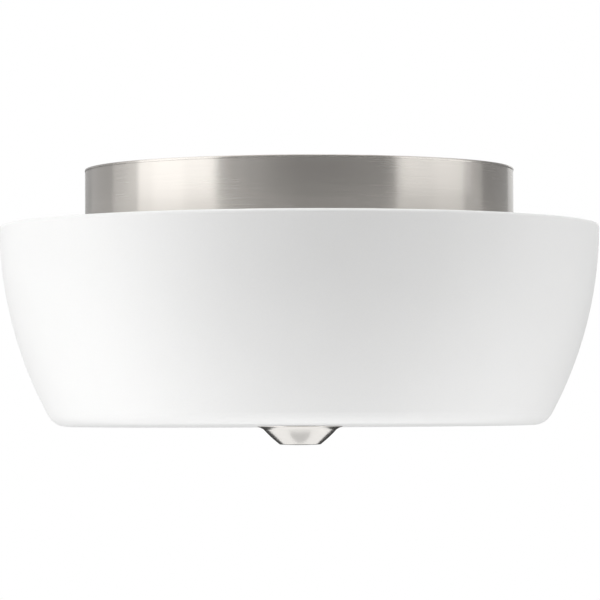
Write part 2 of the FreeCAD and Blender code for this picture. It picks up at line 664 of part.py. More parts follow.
def socket_bracket(side):
    """Steel angle that hangs a lampholder from the pan's floor."""
    body = new_body(f"socket_{side}_bracket")
    drop = "(lamp_drop - pan_depth)"
    wide = "(bracket_bend + bracket_thick)"
    sketch = new_sketch(body, "XZ_Plane")
    outline(sketch, [
        ("bracket_tail", "0"), ("bracket_tail", "-bracket_thick"), (f"-{drop} + {wide}", "-bracket_thick"),
        (f"-{drop}", f"-bracket_thick + {wide}"), (f"-{drop}", "flange_long"),
        (f"-{drop} + bracket_thick", "flange_long"), (f"-{drop} + bracket_thick", "bracket_bend"),
        (f"-{drop} + {wide}", "0"),
    ], {2: (wide, -1), 6: ("bracket_bend", 1)})
    pad(body, sketch, "bracket_width", both_ways=True)
    for way in (-1, 1):
        screw = circle(new_sketch(body, "XY_Plane"), f"{way} * socket_screw_half", "0",
                       "socket_screw_radius + rod_clear")
        pocket(body, screw)
    for step in range(2):
        rivet = circle(new_sketch(body, "YZ_Plane"), "0", f"rivet_first + {step} * rivet_pitch",
                       "rivet_radius + rivet_clear")
        pocket(body, rivet)
    return node(lay(body, side))


def bracket_rivet(side, step):
    """Rivet through a bracket's flange and the pan's floor."""
    body = new_body(f"bracket_rivet_{side}{step}")
    under = f"({FLOOR_UNDER} - bracket_thick)"
    dome = "((rivet_head_radius^2 + rivet_head^2) / (2 * rivet_head))"
    sketch = new_sketch(body, "XZ_Plane")
    outline(sketch, [
        ("0", f"{under} - rivet_head"), ("rivet_head_radius", under), ("rivet_radius", under),
        ("rivet_radius", FLOOR_TOP), ("rivet_head_radius - rivet_clear", FLOOR_TOP),
        ("rivet_head_radius - rivet_head / 2", f"{FLOOR_TOP} + rivet_head"),
        ("0", f"{FLOOR_TOP} + rivet_head"),
    ], {0: (dome, 1)})
    revolve(body, sketch)
    turn = SIDES[side]
    return place(body, f"{turn} * (rivet_first + {step} * rivet_pitch - holder_back)", f"-{turn} * lamp_side")


def socket_screw(side, way):
    """Screw that fixes a lampholder to its bracket, its head behind the bracket."""
    body = new_body(f"socket_screw_{side}{'up' if way > 0 else 'down'}")
    head = "(-bracket_thick)"
    low = f"({head} - socket_screw_head_high)"
    sketch = new_sketch(body, "XZ_Plane")
    outline(sketch, [
        ("0", low), ("socket_screw_head - socket_screw_bevel", low),
        ("socket_screw_head", f"{low} + socket_screw_bevel"), ("socket_screw_head", head),
        ("socket_screw_radius", head), ("socket_screw_radius", "socket_screw_long"),
        ("0", "socket_screw_long"),
    ])
    revolve(body, sketch)
    return lay(body, side, lift=f"{way} * socket_screw_half")


def lamp_globe(side):
    """Blown glass envelope: a round end drawn in by a hollow curve to the neck."""
    body = new_body(f"lamp_{side}_globe")
    both = "(globe_radius + neck_curve)"
    wide = "(globe_neck + neck_curve)"
    rise = f"sqrt({both}^2 - {wide}^2)"
    middle = "(lamp_long - globe_radius)"
    turn = f"({middle} - {rise})"
    inner = "(globe_radius - globe_wall)"
    sketch = new_sketch(body, "XZ_Plane")
    outline(sketch, [
        ("globe_neck", "neck_start"), ("globe_neck", turn),
        (f"{wide} * globe_radius / {both}", f"{middle} - {rise} * globe_radius / {both}"), ("0", "lamp_long"),
        ("0", "lamp_long - globe_wall"),
        (f"{wide} * {inner} / {both}", f"{middle} - {rise} * {inner} / {both}"),
        ("globe_neck - globe_wall", turn), ("globe_neck - globe_wall", "neck_start"),
    ], {1: ("neck_curve", -1), 2: ("globe_radius", 1), 4: (inner, -1), 5: ("neck_curve + globe_wall", 1)})
    revolve(body, sketch)
    return node(lay(body, side, along=LAMP_TIP))


def lamp_base(side):
    """Screw cap of the lamp, its thread drawn as rings of the thread's own pitch."""
    body = new_body(f"lamp_{side}_base")
    middle = "(base_crest - base_thread_deep / 2)"
    wave = "((base_pitch^2 / 16 + base_thread_deep^2 / 4) / base_thread_deep)"
    root = "(base_crest - base_thread_deep - base_wall)"
    flare = "base_long - base_flare_long - (base_long - neck_start)"
    corners = [(root, "base_low"), (middle, "base_low"), (middle, "base_thread_start")]
    bends = {}
    for half in range(2 * THREAD_RINGS):
        bends[len(corners) - 1] = (wave, 1 if half % 2 == 0 else -1)
        corners.append((middle, f"base_thread_start + {half + 1} * base_pitch / 2"))
    corners += [
        ("base_mouth", flare), ("base_mouth", "base_long"), ("globe_neck + shell_gap", "base_long"),
        ("globe_neck + shell_gap", "neck_start"), (root, "neck_start"),
    ]
    outline_sketch = new_sketch(body, "XZ_Plane")
    outline(outline_sketch, corners, bends)
    revolve(body, outline_sketch)
    return node(lay(body, side, along=LAMP_TIP))


def lamp_insulator(side):
    """Black glass between the cap and its tip."""
    body = new_body(f"lamp_{side}_insulator")
    sketch = new_sketch(body, "XZ_Plane")
    outline(sketch, [
        ("0", "tip_high"), ("insulator_low", "tip_high"), ("insulator_high", "base_low"),
        ("insulator_high", "base_thread_start"), ("0", "base_thread_start"),
    ])
    revolve(body, sketch)
    return node(lay(body, side, along=LAMP_TIP))


def lamp_contact(side):
    """Solder tip of the lamp."""
    body = new_body(f"lamp_{side}_contact")
    sketch = new_sketch(body, "XZ_Plane")
    outline(sketch, [("0", "0"), ("tip_radius", "tip_high"), ("0", "tip_high")],
            {0: ("(tip_radius^2 + tip_high^2) / (2 * tip_high)", 1)})
    revolve(body, sketch)
    return node(lay(body, side, along=LAMP_TIP))


# Leads

def lead(label, points):
    """A lead: straight runs joined by tangent arcs, as large as the two runs at each point allow."""
    edges, radii = [], []
    here = points[0]
    length = 0
    for before, point, after in zip(points, points[1:], points[2:]):
        arrive, leave = (point - before).normalize(), (after - point).normalize()
        turn = arrive.getAngle(leave)
        shorter = min((point - before).Length, (after - point).Length)
        set_back = ARC_SHARE * shorter
        radius = set_back / math.tan(turn / 2)
        first, last = point - arrive * set_back, point + leave * set_back
        inward = (leave - arrive).normalize()
        middle = point + inward * (radius / math.cos(turn / 2) - radius)
        edges += [Part.LineSegment(here, first).toShape(), Part.Arc(first, middle, last).toShape()]
        length += (first - here).Length + radius * turn
        radii.append(round(radius, 1))
        here = last
    edges.append(Part.LineSegment(here, points[-1]).toShape())
    length += (points[-1] - here).Length
    section = Part.Wire(Part.Circle(points[0], points[1] - points[0], size("lead_radius")).toShape())
    solid = Part.Wire(edges).makePipeShell([section], True, False)
    volume = math.pi * size("lead_radius") ** 2 * length
    print(label, "length", round(length, 1), "radii", radii, "volume share", round(solid.Volume / volume, 4))
    feature = doc.addObject("Part::Feature", label)
    feature.Shape = solid
    return node(feature, label)


def route(shares, start, turn):
    """The points of a route, turned half round the light's axis where turn is -1."""
    level = size(WIRE_NUT_LEVEL)
    across = Vector(turn * size("bushing_x"), turn * size("bushing_y"), start.z - level)
    return [Vector(x * across.x, y * across.y, level + z * across.z) for x, y, z in shares]


def leads():
    """The four lamp leads and the ground lead."""
    level = size(WIRE_NUT_LEVEL)
    inside = size("wire_nut_at + lead_in_nut")
    for side, turn in SIDES.items():
        for colour, shares, way in (("black", NEAR_ROUTE_SHARES, -1), ("white", FAR_ROUTE_SHARES, 1)):
            tone = colour if side == "a" else {"black": "white", "white": "black"}[colour]
            x = turn * size("lead_seat - holder_back")
            start = Vector(x, turn * size(f"{way} * lead_side - lamp_side"), size("-lamp_drop"))
            end = Vector(-turn * size("lead_pair_half"), turn * way * inside, level)
            lead(f"lead_{tone}_{side}", [start, *route(shares, start, turn), end])
    barrel_middle = size("barrel_start + barrel_long / 2 - bond_x")
    start = Vector(barrel_middle, size("-bond_y"), size(f"{FLOOR_TOP} + barrel_radius"))
    turned = Rotation(Vector(0, 0, 1), GROUND_NUT_TURN)
    end = turned.multVec(Vector(0, -inside, level))
    lead("ground_lead", [start, *route(GROUND_ROUTE_SHARES, start, 1), end])


# The bowl and the finial

def glass_bowl():
    """Etched glass bowl, open upwards, its wall an arc that stands upright at the rim."""
    body = new_body("glass_bowl")
    centre = "(bowl_radius - wall_curve)"
    outer_foot = f"{centre} + sqrt(wall_curve^2 - bowl_height^2)"
    inner_foot = f"{centre} + sqrt((wall_curve - bowl_wall)^2 - (bowl_height - bowl_wall)^2)"
    sketch = new_sketch(body, "XZ_Plane")
    outline(sketch, [
        ("bowl_hole", BOWL_UNDER), (outer_foot, BOWL_UNDER), ("bowl_radius", BOWL_RIM),
        ("bowl_radius - bowl_wall", BOWL_RIM), (inner_foot, BOWL_FLOOR), ("bowl_hole", BOWL_FLOOR),
    ], {1: ("wall_curve", 1), 3: ("wall_curve - bowl_wall", -1)})
    turned = revolve(body, sketch)
    foot = round_edges(body, turned, "bowl_corner", [(outer_foot, BOWL_UNDER)])
    hollow = round_edges(body, foot, "bowl_corner - bowl_wall", [(inner_foot, BOWL_FLOOR)])
    round_edges(body, hollow, "bowl_wall * rim_round_share", [
        ("bowl_radius", BOWL_RIM), ("bowl_radius - bowl_wall", BOWL_RIM),
    ])
    return node(body)


def finial_cap():
    """Turned finial: a thin flared lip under the glass, a slightly full cone and a slightly domed end."""
    body = new_body("finial_cap")
    cone_top = f"{FINIAL_TOP} - cone_top_drop"
    cone_end = f"({FINIAL_UNDER} + dome_high)"
    dome = "((cone_end_radius^2 + dome_high^2) / (2 * dome_high))"
    sketch = new_sketch(body, "XZ_Plane")
    seat = "(outer_gasket_out + gasket_side_gap)"
    outline(sketch, [
        ("0", FINIAL_UNDER), ("cone_end_radius", cone_end), ("cone_top_radius", cone_top),
        ("lip_radius", f"{FINIAL_TOP} - lip_edge"), ("lip_radius", FINIAL_TOP), (seat, FINIAL_TOP),
        (seat, FINIAL_SEAT), ("bush_radius + press_gap", FINIAL_SEAT),
        ("bush_radius + press_gap", FINIAL_FLOOR), ("0", FINIAL_FLOOR),
    ], {0: (dome, 1), 1: ("cone_curve", 1), 2: ("flare_radius", -1)})
    turned = revolve(body, sketch)
    round_edges(body, turned, "tip_round", [("cone_end_radius", cone_end)])
    return node(body)


def under_bowl():
    """The gasket between glass and finial, and the finial's threaded bush."""
    node(ring("outer_gasket", "outer_gasket_out", "rod_radius + gasket_clear", FINIAL_SEAT, BOWL_UNDER))
    bush_top = f"({FINIAL_SEAT} - bush_sink)"
    node(ring("finial_bush", "bush_radius", "rod_radius + bush_fit", FINIAL_FLOOR, bush_top))


mounting_strap()
group("canopy_screws", [canopy_screw(index, turn) for index, turn in enumerate((1, -1), start=1)])
ground_screw()
canopy_pan()
insulation_pad()
stem_rod()
stem_hardware()
bond_parts()
group("lead_bushings", [lead_bushing(side) for side in SIDES])
group("wire_nuts", [wire_nut(f"wire_nut_{index}", 180 * index) for index in range(2)])
node(wire_nut("ground_wire_nut", GROUND_NUT_TURN))
for side in SIDES:
    for piece in (socket_body, socket_shell, socket_contact, socket_bracket,
                  lamp_globe, lamp_base, lamp_insulator, lamp_contact):
        piece(side)
group("bracket_rivets", [bracket_rivet(side, step) for side in SIDES for step in range(2)])
group("socket_screws", [socket_screw(side, way) for side in SIDES for way in (-1, 1)])
leads()
glass_bowl()
finial_cap()
under_bowl()
doc.recompute()

for item in doc.Objects:
    if "Invalid" in item.State or "Error" in item.State:
        raise RuntimeError(f"{item.Label} failed: {item.State}")
for item in sub_parts:
    if item.Shape.isNull() or not item.Shape.isValid() or not item.Shape.Solids:
        raise RuntimeError(f"{item.Label} has no valid solid")

os.makedirs("parts", exist_ok=True)
for item in sub_parts:
    item.Shape.exportStep(f"parts/{item.Label}.step")
print(len(sub_parts), "sub-parts")
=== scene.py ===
import json
import math

import bmesh
import bpy
from mathutils import Matrix, Vector
from mathutils.geometry import tessellate_polygon


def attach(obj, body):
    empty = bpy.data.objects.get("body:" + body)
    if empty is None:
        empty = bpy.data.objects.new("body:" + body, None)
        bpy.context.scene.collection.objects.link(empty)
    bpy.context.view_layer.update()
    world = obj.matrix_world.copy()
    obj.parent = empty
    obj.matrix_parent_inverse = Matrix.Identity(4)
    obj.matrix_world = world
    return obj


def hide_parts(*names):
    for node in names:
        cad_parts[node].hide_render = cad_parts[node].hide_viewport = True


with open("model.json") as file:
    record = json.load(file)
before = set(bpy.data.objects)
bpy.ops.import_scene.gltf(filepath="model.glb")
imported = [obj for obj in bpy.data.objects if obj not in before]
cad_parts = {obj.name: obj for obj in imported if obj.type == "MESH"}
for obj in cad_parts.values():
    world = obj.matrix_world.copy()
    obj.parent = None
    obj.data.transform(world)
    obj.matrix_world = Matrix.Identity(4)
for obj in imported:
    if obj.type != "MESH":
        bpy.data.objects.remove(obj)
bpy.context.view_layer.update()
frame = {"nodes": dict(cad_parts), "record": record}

# A bowl ceiling light. The light's own lengths in this file are millimetres, and the studio's are metres.
MM = 0.001
TURN = 2 * math.pi

# sizes of the pieces that are made here, the same as the solids'
PIPE_PITCH, SCREW_PITCH, LAMP_PITCH = 25.4 / 27, 25.4 / 32, 3.63
ROD_CREST, ROD_ROOT, ROD_BORE, ROD_END, ROD_TOP = 4.8, 4.32, 3.0, -141.5, -22.5
SCREW_CIRCLE, SCREW_HEAD_TOP, SCREW_END, SCREW_CREST, SCREW_ROOT = 54, -32.1, 4, 2.05, 1.68
HEAD_HIGH, HEAD_RADIUS, HEAD_FLAT = 2.6, 4.1, 2.8
RECESS_DEEP, RECESS_HALF_LONG, RECESS_HALF_WIDE = 1.5, 2.2, 0.6
HOLDER_BACK, LAMP_SIDE, LAMP_DROP, LAMP_TIP = 62, 42, 74, 19
NUT_MOUTH, NUT_LEVEL = 50, -11.3


# Meshes

def turned(profile, segments=96, closed=True):
    """An outline of (radius, height) points turned about Z. A radius may be a function of the angle."""
    vertices, rings = [], []
    for radius, height in profile:
        if not callable(radius) and radius == 0:
            rings.append([len(vertices)])
            vertices.append((0, 0, height))
            continue
        rings.append(list(range(len(vertices), len(vertices) + segments)))
        for step in range(segments):
            angle = TURN * step / segments
            r = radius(angle) if callable(radius) else radius
            vertices.append((r * math.cos(angle), r * math.sin(angle), height))
    faces = []
    for low, high in zip(rings, rings[1:] + rings[:1] if closed else rings[1:]):
        for step in range(segments):
            after = (step + 1) % segments
            corners = (low[step % len(low)], low[after % len(low)],
                       high[after % len(high)], high[step % len(high)])
            corners = list(dict.fromkeys(corners))
            if len(corners) > 2:
                faces.append(corners)
    return vertices, faces


def thread(start, end, pitch, crest, root, rows=6, fade=1.0, soft=False):
    """Rings of a right-handed outer thread that fades into its root at both ends."""
    count = max(2, round((end - start) / pitch * rows))
    rings = []
    for row in range(count + 1):
        level = start + (end - start) * row / count
        share = min(1, (level - start) / (fade * pitch), (end - level) / (fade * pitch))

        def radius(angle, level=level, share=share):
            phase = (level / pitch - angle / TURN) % 1
            wave = (1 - math.cos(TURN * phase)) / 2 if soft else 1 - abs(2 * phase - 1)
            return root + (crest - root) * wave * share
        rings.append((radius, level))
    return rings


def moved(shape, matrix):
    """A shape's vertices under a matrix."""
    vertices, faces = shape
    return [matrix @ Vector(v) for v in vertices], faces


def joined(*shapes):
    """Several shapes as one."""
    vertices, faces = [], []
    for more, sides in shapes:
        base = len(vertices)
        vertices += [tuple(v) for v in more]
        faces += [[base + i for i in side] for side in sides]
    return vertices, faces


def piece(name, shape, material, body, replaces=(), sharp=38):
    """A piece of the light from a shape in millimetres."""
    vertices, faces = shape
    mesh = bpy.data.meshes.new(name)
    mesh.from_pydata([Vector(v) * MM for v in vertices], [], faces)
    cleaned = bmesh.new()
    cleaned.from_mesh(mesh)
    bmesh.ops.remove_doubles(cleaned, verts=cleaned.verts, dist=1e-7)
    bmesh.ops.recalc_face_normals(cleaned, faces=cleaned.faces)
    cleaned.to_mesh(mesh)
    cleaned.free()
    mesh.shade_smooth()
    mesh.set_sharp_from_angle(angle=math.radians(sharp))
    made = bpy.data.objects.new(name, mesh)
    bpy.context.scene.collection.objects.link(made)
    mesh.materials.append(material)
    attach(made, body)
    if replaces:
        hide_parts(*replaces)
    return made


# Materials

def add(tree, kind, inputs=None, **settings):
    """A node with its settings. Each input is set to a value or linked to a socket."""
    node = tree.nodes.new(kind)
    for key, value in settings.items():
        setattr(node, key, value)
    for key, value in (inputs or {}).items():
        if isinstance(value, bpy.types.NodeSocket):
            tree.links.new(value, node.inputs[key])
        else:
            node.inputs[key].default_value = value
    return node


def calc(tree, operation, *values):
    """The result of a math node."""
    return add(tree, "ShaderNodeMath", dict(enumerate(values)), operation=operation).outputs[0]


def spread(tree, value, low, high):
    """A socket from 0 to 1 mapped to a range."""
    return add(tree, "ShaderNodeMapRange", {"Value": value, "To Min": low, "To Max": high}).outputs[0]


def object_point(tree):
    return add(tree, "ShaderNodeTexCoord").outputs["Object"]


def noise(tree, vector, scale, detail=3.0, rough=0.55, **more):
    """A noise socket from 0 to 1, scaled in features a metre."""
    inputs = {"Vector": vector, "Scale": scale, "Detail": detail, "Roughness": rough, **more}
    return add(tree, "ShaderNodeTexNoise", inputs,
               noise_dimensions="4D" if "W" in more else "3D").outputs["Fac"]


def speckle(scale, detail=3.0):
    """Grain that is the same in every direction."""
    return lambda tree: noise(tree, object_point(tree), scale, detail)


def brushed(axis, long=60, fine=4200):
    """Straight brushing along one axis."""
    def grain(tree):
        scale = [fine] * 3
        scale[axis] = long
        stretched = add(tree, "ShaderNodeVectorMath", {0: object_point(tree), 1: scale},
                        operation="MULTIPLY")
        return noise(tree, stretched.outputs[0], 1)
    return grain


def spun(long=3.0, fine=3600):
    """Brushing that runs round the light's axis: long features a radian, and fine ones a metre across."""
    def grain(tree):
        point = add(tree, "ShaderNodeSeparateXYZ", {0: object_point(tree)})
        flat = add(tree, "ShaderNodeCombineXYZ", {"X": point.outputs["X"], "Y": point.outputs["Y"]})
        out = add(tree, "ShaderNodeVectorMath", {0: flat.outputs[0]}, operation="LENGTH").outputs["Value"]
        way = add(tree, "ShaderNodeVectorMath", {0: flat.outputs[0]}, operation="NORMALIZE").outputs[0]
        around = add(tree, "ShaderNodeSeparateXYZ", {0: way})
        lined = add(tree, "ShaderNodeCombineXYZ", {
            "X": calc(tree, "MULTIPLY", around.outputs["X"], long),
            "Y": calc(tree, "MULTIPLY", around.outputs["Y"], long),
            "Z": calc(tree, "MULTIPLY", point.outputs["Z"], fine),
        })
        return noise(tree, lined.outputs[0], 1, W=calc(tree, "MULTIPLY", out, fine))
    return grain


# the grain's and the slow blotches' shares of a colour, and the range of their sum that the colours span
GRAIN_SHARE, BLOTCH_SHARE = 0.6, 0.4
DARK_END, LIGHT_END = 0.3, 0.7


def finish(name, dark, light, rough, grain, relief=0.0, depth_metres=1e-5, blotch=25.0, tangent=False,
           **fixed):
    """A material whose colour, roughness and relief follow a grain, with slow blotches over it."""
    material = bpy.data.materials.new(name)
    material.use_nodes = True
    tree = material.node_tree
    surface = tree.nodes["Principled BSDF"]
    fine = grain(tree)
    slow = noise(tree, object_point(tree), blotch, 2.0)
    both = calc(tree, "ADD", calc(tree, "MULTIPLY", fine, GRAIN_SHARE),
                calc(tree, "MULTIPLY", slow, BLOTCH_SHARE))
    ramp = add(tree, "ShaderNodeValToRGB", {"Fac": both})
    low, high = ramp.color_ramp.elements
    low.position, high.position = DARK_END, LIGHT_END
    low.color, high.color = (*dark, 1), (*light, 1)
    tree.links.new(ramp.outputs["Color"], surface.inputs["Base Color"])
    tree.links.new(spread(tree, both, *rough), surface.inputs["Roughness"])
    if relief:
        bump = add(tree, "ShaderNodeBump", {"Height": fine, "Strength": relief, "Distance": depth_metres})
        tree.links.new(bump.outputs[0], surface.inputs["Normal"])
    if tangent:
        around = add(tree, "ShaderNodeTangent", direction_type="RADIAL", axis="Z")
        tree.links.new(around.outputs[0], surface.inputs["Tangent"])
    for key, value in fixed.items():
        surface.inputs[key.replace("_", " ")].default_value = value
    return material


METAL = {"Metallic": 1.0}
NICKEL = {**METAL, "Anisotropic": 1.0, "Anisotropic_Rotation": 0.25}
OPAL = {"Subsurface_Radius": (1.0, 1.0, 1.0), "IOR": 1.5}
# each one's name, darker and lighter colour, range of roughness, grain, and strength and depth of relief
made = {
    "nickel": finish("brushed_nickel", (0.58, 0.553, 0.52), (0.64, 0.611, 0.574), (0.23, 0.30), spun(),
                     0.09, 1e-5, tangent=True, **NICKEL),
    "etched_glass": finish("etched_opal_glass", (0.87, 0.87, 0.865), (0.90, 0.90, 0.895), (0.42, 0.55),
                           speckle(1400), 0.08, 4e-5, Subsurface_Weight=0.15, Subsurface_Scale=0.003,
                           **OPAL),
    "steel": finish("zinc_plated_steel", (0.50, 0.51, 0.53), (0.62, 0.63, 0.64), (0.28, 0.45), brushed(0),
                    0.1, 1e-5, blotch=140, **METAL),
    "green_steel": finish("green_dyed_steel", (0.03, 0.16, 0.05), (0.06, 0.26, 0.09), (0.3, 0.45),
                          speckle(900), 0.08, 1e-5, Metallic=0.7),
    "fibreglass": finish("felted_fibreglass", (0.78, 0.72, 0.52), (0.90, 0.86, 0.70), (0.85, 0.98),
                         speckle(650, 6.0), 0.9, 4e-4, blotch=60, Sheen_Weight=0.25),
    "black_rubber": finish("black_rubber", (0.012, 0.012, 0.012), (0.028, 0.028, 0.028), (0.6, 0.8),
                           speckle(1500), 0.2, 3e-5),
    "porcelain": finish("glazed_porcelain", (0.80, 0.785, 0.745), (0.88, 0.87, 0.83), (0.10, 0.20),
                        speckle(260, 5.0), 0.05, 6e-5, blotch=35, Coat_Weight=0.5, Coat_Roughness=0.08),
    "brass": finish("drawn_brass", (0.62, 0.45, 0.17), (0.76, 0.58, 0.26), (0.2, 0.36),
                    brushed(0, 90, 3000), 0.06, 1e-5, **METAL),
    "lamp_glass": finish("soft_white_lamp_glass", (0.86, 0.86, 0.845), (0.90, 0.90, 0.885), (0.16, 0.24),
                         speckle(900), 0.03, 2e-5, Subsurface_Weight=0.2, Subsurface_Scale=0.004, **OPAL),
    "lamp_cap": finish("rolled_aluminium", (0.62, 0.62, 0.63), (0.74, 0.74, 0.75), (0.22, 0.38),
                       brushed(0, 900, 1800), 0.08, 1e-5, **METAL),
    "black_glass": finish("black_lamp_glass", (0.01, 0.01, 0.011), (0.022, 0.021, 0.022), (0.1, 0.22),
                          speckle(500), 0.05, 3e-5),
    "solder": finish("dull_solder", (0.42, 0.42, 0.44), (0.58, 0.58, 0.60), (0.3, 0.5), speckle(1200),
                     0.3, 4e-5, **METAL),
    "black_lead": finish("black_lead_sleeve", (0.012, 0.012, 0.012), (0.03, 0.03, 0.03), (0.42, 0.6),
                         speckle(1600), 0.15, 2e-5),
    "white_lead": finish("white_lead_sleeve", (0.76, 0.75, 0.71), (0.84, 0.83, 0.80), (0.42, 0.6),
                         speckle(1600), 0.15, 2e-5),
    "green_lead": finish("green_lead_sleeve", (0.02, 0.16, 0.05), (0.04, 0.24, 0.08), (0.42, 0.6),
                         speckle(1600), 0.15, 2e-5),
    "orange_plastic": finish("orange_wire_nut_plastic", (0.72, 0.20, 0.025), (0.82, 0.27, 0.04),
                             (0.38, 0.5), speckle(1300), 0.1, 2e-5),
    "green_plastic": finish("green_wire_nut_plastic", (0.03, 0.22, 0.08), (0.05, 0.30, 0.11),
                            (0.38, 0.5), speckle(1300), 0.1, 2e-5),
    "black_nylon": finish("black_nylon", (0.018, 0.018, 0.018), (0.035, 0.035, 0.035), (0.4, 0.55),
                          speckle(1100), 0.12, 2e-5),
}

for subpart in frame["record"]["subparts"]:
    node = frame["nodes"][subpart["node"]]
    node.data.materials.clear()
    node.data.materials.append(made[subpart["material_slot"]])

# the finial is nickel, polished smoother than the pan's, with its colour painted lighter than the pan's
# nickel so that it renders bright: painted light
polished_painted_lighter = finish("polished_nickel_painted_lighter", (0.82, 0.797, 0.765), (0.87, 0.847, 0.813), (0.17, 0.23), spun(),
                  0.04, 1e-5, **METAL)
frame["nodes"]["finial_cap"].data.materials[0] = polished_painted_lighter


# The threaded pipe

def threaded_rod(chamfer=0.2, inset=0.1, slack=0.02):
    """A hollow rod with a thread from end to end, its ends a little thinner than the thread's root."""
    end = ROD_ROOT - inset
    outside = thread(ROD_END + chamfer, ROD_TOP - chamfer, PIPE_PITCH, ROD_CREST - slack, ROD_ROOT)
    return turned([(ROD_BORE, ROD_END), (end, ROD_END)] + outside + [(end, ROD_TOP), (ROD_BORE, ROD_TOP)], 32)


piece("stem_rod_threaded", threaded_rod(), made["steel"], "pan", ["stem_rod"])


# Screws

def cross(half_long, half_wide, height):
    """The outline of a cross recess at a height."""
    quarter = [(half_long, -half_wide), (half_long, half_wide), (half_wide, half_wide)]
    points = []
    for turn in range(4):
        spin = Matrix.Rotation(TURN * turn / 4, 4, "Z")
        points += [spin @ Vector((x, y, height)) for x, y in quarter]
    return points


def head_with_recess(level, segments, floor_long=0.72, floor_wide=0.8):
    """The end face of a head, facing down, with a cross recess that narrows up into it."""
    angles = [TURN * step / segments for step in range(segments)]
    rim = [Vector((HEAD_FLAT * math.cos(a), HEAD_FLAT * math.sin(a), level)) for a in angles]
    mouth = cross(RECESS_HALF_LONG, RECESS_HALF_WIDE, level)
    floor = cross(RECESS_HALF_LONG * floor_long, RECESS_HALF_WIDE * floor_wide, level + RECESS_DEEP)
    faces = [list(side) for side in tessellate_polygon([rim, mouth])]
    first, second, count = segments, segments + len(mouth), len(mouth)
    for i in range(count):
        after = (i + 1) % count
        faces.append([first + i, first + after, second + after, second + i])
    faces += [[second + i for i in side] for side in tessellate_polygon([floor])]
    return rim + mouth + floor, faces


def canopy_screw(x, segments=40, dome_steps=6):
    """A machine screw, head down, with its thread and recess."""
    face, dome = SCREW_HEAD_TOP - HEAD_HIGH, []
    for step in range(dome_steps + 1):
        angle = TURN / 4 * step / dome_steps
        dome.append((HEAD_FLAT + (HEAD_RADIUS - HEAD_FLAT) * math.sin(angle),
                     face + HEAD_HIGH / 2 * (1 - math.cos(angle))))
    shank = thread(SCREW_HEAD_TOP, SCREW_END, SCREW_PITCH, SCREW_CREST, SCREW_ROOT, fade=0.7)
    outside = turned(dome + [(HEAD_RADIUS, SCREW_HEAD_TOP)] + shank + [(0, SCREW_END)], segments,
                     closed=False)
    return moved(joined(outside, head_with_recess(face, segments)), Matrix.Translation((x, 0, 0)))


piece("canopy_screws_threaded", joined(canopy_screw(SCREW_CIRCLE), canopy_screw(-SCREW_CIRCLE)),
      made["steel"], "ceiling_bracket", ["canopy_screws"])


# Lamps and the lampholders' screw shells

def laid(side, along=0):
    """Where a piece lies that is built along Z from the back of a lampholder."""
    turn = Matrix.Rotation(0 if side == "a" else TURN / 2, 4, "Z")
    return turn @ Matrix.Translation((along - HOLDER_BACK, -LAMP_SIDE, -LAMP_DROP)) @ Matrix.Rotation(
        TURN / 4, 4, "Y")


def lamp_cap():
    """Rolled screw cap: a thin shell with a rounded thread and a flared mouth."""
    low, high, bore, mouth, crest, root = 5, 26.5, 12.0, 13.38, 13.2, 12.4
    outer = [(bore, low), (12.35, low), (12.6, low + 0.35)]
    outer += thread(5.6, 20.9, LAMP_PITCH, crest, root, rows=10, fade=0.35, soft=True)
    outer += [(12.75, 21.3), (13.1, 21.9), (mouth, 22.6), (mouth, high - 0.3), (mouth - 0.15, high)]
    inner = [(12.72, high), (12.7, 22.5), (bore, 22.5)]
    return turned(outer + inner, 80)


def screw_shell():
    """Screw shell of a lampholder, rolled with the same thread."""
    low, high, sheet, hole, crest, root = 14, 43, 0.3, 8.6, 14.1, 13.75
    outside = thread(14.6, 42.6, LAMP_PITCH, crest, root, rows=8, fade=0.4, soft=True)
    inside = [((lambda angle, r=radius: r(angle) - sheet), level) for radius, level in reversed(outside)]
    back, foot = [(hole, low), (13.8, low)], [(13.4, low + 0.4), (hole, low + 0.4)]
    return turned(back + outside + [(root, high), (root - sheet, high)] + inside + foot, 72)


for side in "ab":
    piece(f"lamp_{side}_cap", moved(lamp_cap(), laid(side, LAMP_TIP)), made["lamp_cap"],
          f"lamp_{side}", [f"lamp_{side}_base"])
    piece(f"socket_{side}_screw_shell", moved(screw_shell(), laid(side)), made["brass"],
          "pan", [f"socket_{side}_shell"])


# Wire nuts

def wire_nut(turn):
    """A ribbed cone with two wings, lying on the pad with its mouth towards the stem."""
    ribs, lift, wing_half = 18, 0.22, 0.9
    length, mouth, tip, bore, deep = 24, 6.2, 3.4, 4.2, 13
    cone_start, cone_long, steps = 0.9, length - 3.9, 12

    def ribbed(radius, share=1.0):
        return lambda angle: radius - lift * share * (0.5 + 0.5 * math.cos(ribs * angle)) ** 2
    outline = [(0, 0), (tip - 0.9, 0), (tip - 0.25, 0.25), (ribbed(tip, 0.3), cone_start)]
    for step in range(1, steps):
        level = cone_start + cone_long * step / steps
        outline.append((ribbed(tip + (mouth - tip) * (level - cone_start) / cone_long), level))
    outline += [(ribbed(mouth, 0.4), length - 3.2), (mouth, length - 2.8), (mouth, length - 0.4),
                (mouth - 0.3, length), (bore + 0.2, length), (bore, length - 0.3),
                (bore - 0.3, length - deep), (0, length - deep)]
    body = turned(outline, 108)
    section = [(4.6, 8.2), (7.6, 11.4), (8.85, 14.2), (9.0, 17.6), (8.6, 19.6), (7.4, 20.8), (4.6, 21.2)]
    count = len(section)
    sides = [[i, (i + 1) % count, count + (i + 1) % count, count + i] for i in range(count)]
    wings = []
    for way in (-1, 1):
        near = [(way * x, -wing_half, z) for x, z in section]
        far = [(way * x, wing_half, z) for x, z in section]
        wings.append((near + far, [list(range(count)), list(range(count, 2 * count)), *sides]))
    laid_down = Matrix.Translation((0, -NUT_MOUTH - length, NUT_LEVEL)) @ Matrix.Rotation(-TURN / 4, 4, "X")
    return moved(joined(body, *wings), Matrix.Rotation(math.radians(turn), 4, "Z") @ laid_down)


